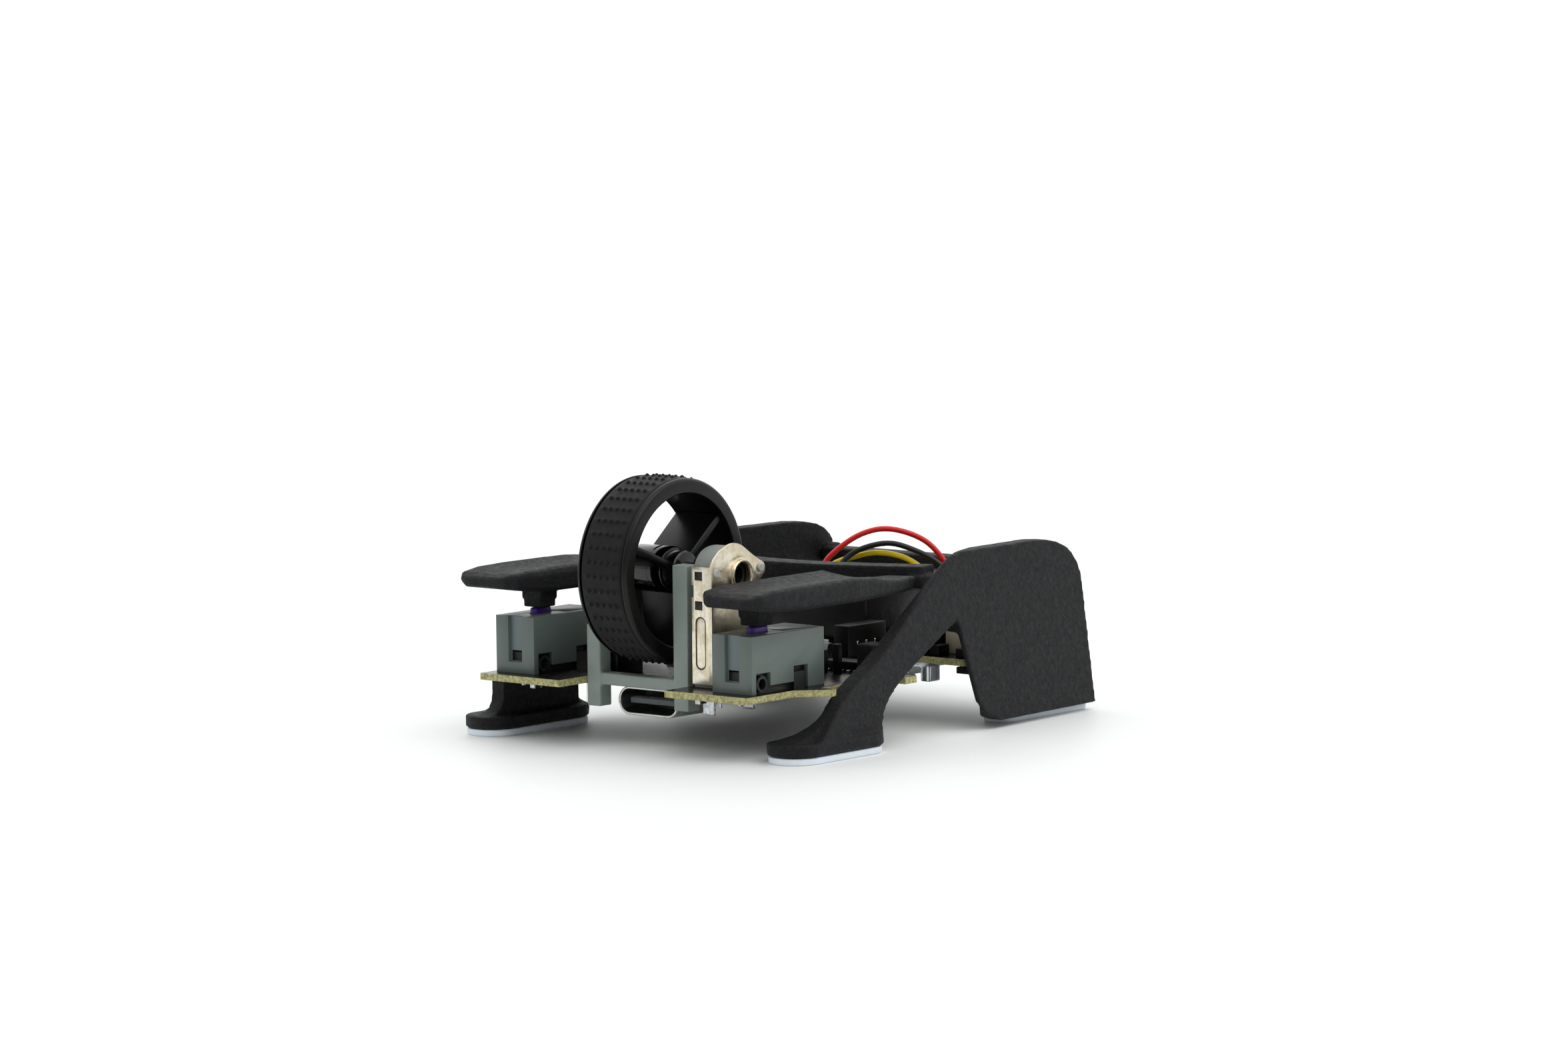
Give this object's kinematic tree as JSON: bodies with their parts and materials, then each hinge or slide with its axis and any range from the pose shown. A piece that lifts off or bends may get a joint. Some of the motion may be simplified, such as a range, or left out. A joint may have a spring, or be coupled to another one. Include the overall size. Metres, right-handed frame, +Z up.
{
  "type": "computer mouse",
  "caption": "Ultralight open-frame wireless computer mouse: printed skeleton, two buttons on micro-switches, scroll wheel with encoder.",
  "frame": {"origin": "centre of the bounding box on the surface that the skates stand on", "axes": "+Z up, -Y the front (cable socket and button tips), +Y the palm end, +X the user's left"},
  "size_m": [0.051, 0.064, 0.0311],
  "materials": {
    "nylon": "grainy, laser-sintered",
    "skate": "smooth low-friction",
    "board": "satin solder mask",
    "switch_grey": "satin moulded",
    "dark_plastic": "satin",
    "violet": "semi-gloss",
    "tyre_rubber": "matte, nubbed",
    "gloss_black": "gloss",
    "nickel": "plated",
    "steel": "plated",
    "grey_plastic": "satin moulded",
    "battery_wrap": "film",
    "lens": "clear",
    "beige_plastic": "moulded",
    "wire_red": "silicone",
    "wire_black": "silicone",
    "wire_yellow": "silicone"
  },
  "bodies": {
    "frame": {"frame_left_side": "nylon", "frame_right_side": "nylon", "frame_front_bridge": "nylon", "frame_rear_bridge": "nylon", "front_left_skate": "skate", "front_right_skate": "skate", "rear_left_skate": "skate", "rear_right_skate": "skate", "main_board": "board", "left_switch_cover": "switch_grey", "right_switch_cover": "switch_grey", "left_switch_base": "dark_plastic", "right_switch_base": "dark_plastic", "middle_switch_body": "dark_plastic", "cable_socket_tongue": "dark_plastic", "sensor_chip": "dark_plastic", "ribbon_socket": "dark_plastic", "pin_header": "dark_plastic", "encoder_cover": "nickel", "encoder_terminal_front": "steel", "encoder_terminal_rear": "steel", "cable_socket_shell": "steel", "radio_shield": "steel", "front_left_screw": "steel", "front_right_screw": "steel", "rear_left_screw": "steel", "rear_right_screw": "steel", "encoder_body": "grey_plastic", "wheel_bracket": "grey_plastic", "battery": "battery_wrap", "sensor_lens": "lens", "battery_connector": "beige_plastic", "battery_wire_red": "wire_red", "battery_wire_black": "wire_black", "battery_plug": "wire_black", "battery_wire_yellow": "wire_yellow"},
    "left_button": {"left_button": "nylon"},
    "right_button": {"right_button": "nylon"},
    "left_plunger": {"left_switch_plunger": "violet"},
    "right_plunger": {"right_switch_plunger": "violet"},
    "middle_plunger": {"middle_switch_plunger": "grey_plastic"},
    "wheel": {"wheel_tyre": "tyre_rubber", "wheel_hub": "gloss_black", "encoder_rotor": "dark_plastic"}
  },
  "joints": [
    {"name": "left_button_press", "type": "hinge", "parent": "frame", "child": "left_button", "pos_m": [0.017, 0, 0.0181], "axis": [1, 0, 0], "range_deg": [0, 0.8], "stiffness_Nm_per_rad": 0.05, "springref_deg": -0.23},
    {"name": "right_button_press", "type": "hinge", "parent": "frame", "child": "right_button", "pos_m": [-0.017, 0, 0.0181], "axis": [1, 0, 0], "range_deg": [0, 0.8], "stiffness_Nm_per_rad": 0.05, "springref_deg": -0.23},
    {"name": "left_plunger_slide", "type": "slide", "parent": "frame", "child": "left_plunger", "axis": [0, 0, -1], "range_m": [0, 0.0004]},
    {"name": "right_plunger_slide", "type": "slide", "parent": "frame", "child": "right_plunger", "axis": [0, 0, -1], "range_m": [0, 0.0004]},
    {"name": "middle_click", "type": "hinge", "parent": "frame", "child": "middle_plunger", "pos_m": [0.0105, -0.02117, 0.0202], "axis": [0, -1, 0], "range_deg": [0, 1], "stiffness_Nm_per_rad": 0.1, "springref_deg": -0.34},
    {"name": "wheel_spin", "type": "hinge", "parent": "middle_plunger", "child": "wheel", "pos_m": [0, -0.02117, 0.0202], "axis": [1, 0, 0], "continuous": true}
  ],
  "couplings": [
    {"joint": "left_plunger_slide", "follows": "left_button_press", "m_per_rad": 0.0248},
    {"joint": "right_plunger_slide", "follows": "right_button_press", "m_per_rad": 0.0248}
  ]
}
